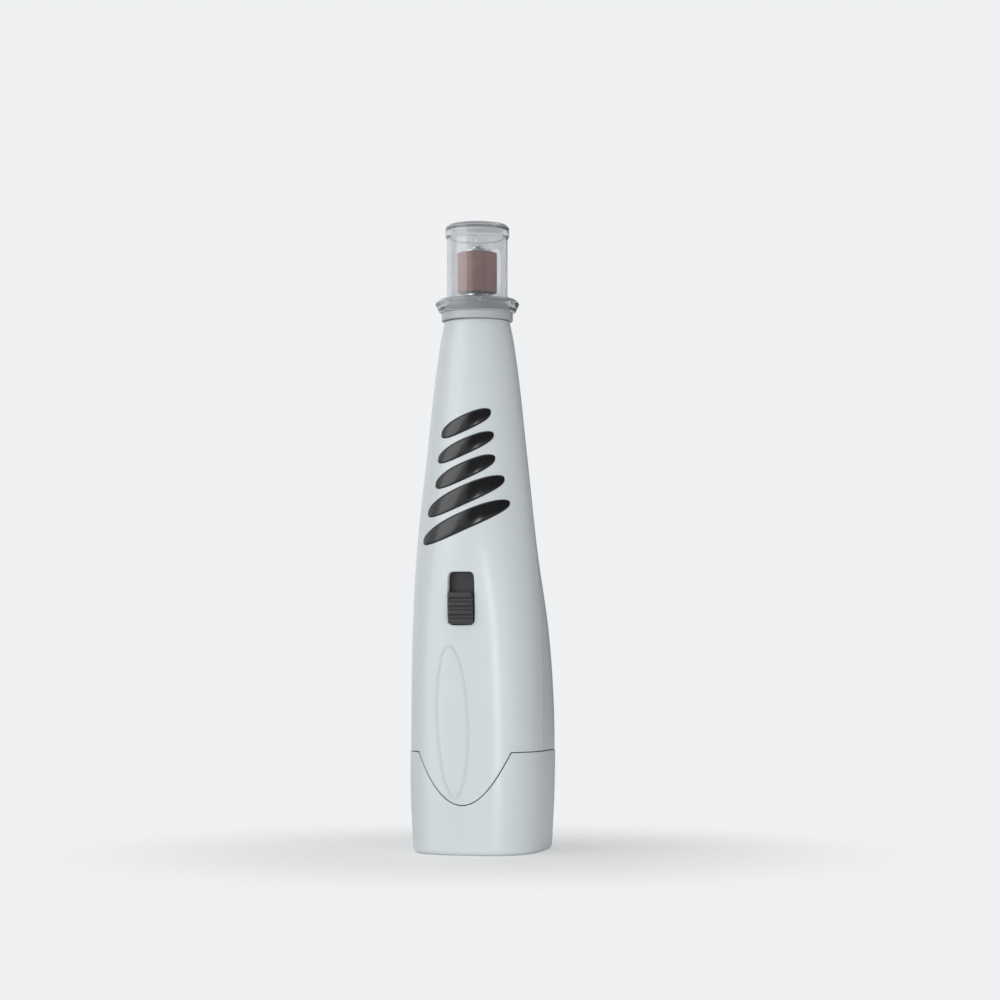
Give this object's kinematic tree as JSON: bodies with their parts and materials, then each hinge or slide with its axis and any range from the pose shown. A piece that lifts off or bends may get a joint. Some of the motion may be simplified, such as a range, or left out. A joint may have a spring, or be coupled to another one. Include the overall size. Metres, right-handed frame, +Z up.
{
  "type": "electric nail grinder",
  "caption": "Battery pet nail grinder: tapered two-shell grip with slanted rubber pads, clear guard with claw window, sanding drum on a motor spindle, slide switch, pull-down battery cover.",
  "frame": {"origin": "on the spindle axis, at the flat bottom face of the battery cover that the grinder stands on", "axes": "+Z up along the spindle towards the sanding drum and guard; -Y is the front, with the grip pads and the switch; +X is the right of someone who looks at that front"},
  "size_m": [0.0428, 0.0521, 0.1998],
  "materials": {
    "housing_grey": "satin moulded ABS",
    "cover_grey": "satin moulded ABS",
    "collar_grey": "moulded ABS",
    "grip_rubber": "smooth elastomer",
    "clear_guard": "clear polycarbonate",
    "holder_black": "fine moulded",
    "switch_black": "fine moulded",
    "bright_steel": "machined",
    "spring_steel": "drawn wire",
    "screw_steel": "black zinc",
    "motor_steel": "plated pressing",
    "switch_can": "plated pressing",
    "copper": "enamelled copper",
    "brass": "stamped",
    "ferrite": "sintered ferrite",
    "carbon": "carbon",
    "endbell_black": "moulded nylon",
    "felt": "pressed felt",
    "mount_rubber": "moulded rubber",
    "abrasive": "bonded abrasive grit",
    "led_clear": "clear epoxy",
    "board_green": "solder mask",
    "cell_wrap": "plain shrink sleeve",
    "wire_red": "PVC insulation"
  },
  "bodies": {
    "housing": {"front_housing": "housing_grey", "rear_housing": "housing_grey", "grip_insert": "grip_rubber", "neck_collar": "collar_grey", "nose_holder": "holder_black", "nose_seal": "felt", "led": "led_clear", "led_wire_left": "wire_red", "led_wire_right": "wire_red", "front_bearing_outer": "bright_steel", "rear_bearing_outer": "bright_steel", "motor_can": "motor_steel", "motor_endbell": "endbell_black", "motor_magnet_front": "ferrite", "motor_magnet_rear": "ferrite", "motor_brush_left": "carbon", "motor_brush_right": "carbon", "motor_terminal_left": "brass", "motor_terminal_right": "brass", "motor_mount_front": "mount_rubber", "motor_mount_rear": "mount_rubber", "battery_carrier": "holder_black", "cell_1": "cell_wrap", "cell_2": "cell_wrap", "cell_3": "cell_wrap", "cell_4": "cell_wrap", "top_contact_rear": "brass", "top_contact_left": "brass", "top_contact_right": "brass", "top_spring_2": "spring_steel", "top_spring_3": "spring_steel", "switch_body": "switch_can", "control_board": "board_green", "speed_chip": "endbell_black", "housing_screw_1": "screw_steel", "housing_screw_2": "screw_steel", "housing_screw_3": "screw_steel", "housing_screw_4": "screw_steel", "board_screw_left": "screw_steel", "board_screw_right": "screw_steel"},
    "spindle": {"mandrel": "bright_steel", "drum_core": "mount_rubber", "sanding_band": "abrasive", "drum_washer": "bright_steel", "drum_screw": "bright_steel", "shaft_coupling": "brass", "motor_shaft": "bright_steel", "armature_core": "motor_steel", "armature_windings": "copper", "commutator": "copper", "front_bearing_inner": "bright_steel", "rear_bearing_inner": "bright_steel"},
    "guard": {"guard": "clear_guard"},
    "cover": {"battery_cover": "cover_grey", "cover_contact_front": "brass", "cover_contact_rear": "brass", "cover_spring_1": "spring_steel", "cover_spring_4": "spring_steel"},
    "switch": {"switch_knob": "switch_black", "switch_lever": "switch_black"}
  },
  "joints": [
    {"name": "spindle_spin", "type": "hinge", "parent": "housing", "child": "spindle", "pos_m": [0, 0, 0.1684], "axis": [0, 0, 1], "continuous": true},
    {"name": "guard_pull", "type": "slide", "parent": "housing", "child": "guard", "axis": [0, 0, 1], "range_m": [0, 0.03]},
    {"name": "cover_pull", "type": "slide", "parent": "housing", "child": "cover", "axis": [0, 0, -1], "range_m": [0, 0.04]},
    {"name": "switch_slide", "type": "slide", "parent": "housing", "child": "switch", "axis": [0, 0, 1], "range_m": [0, 0.006]}
  ]
}
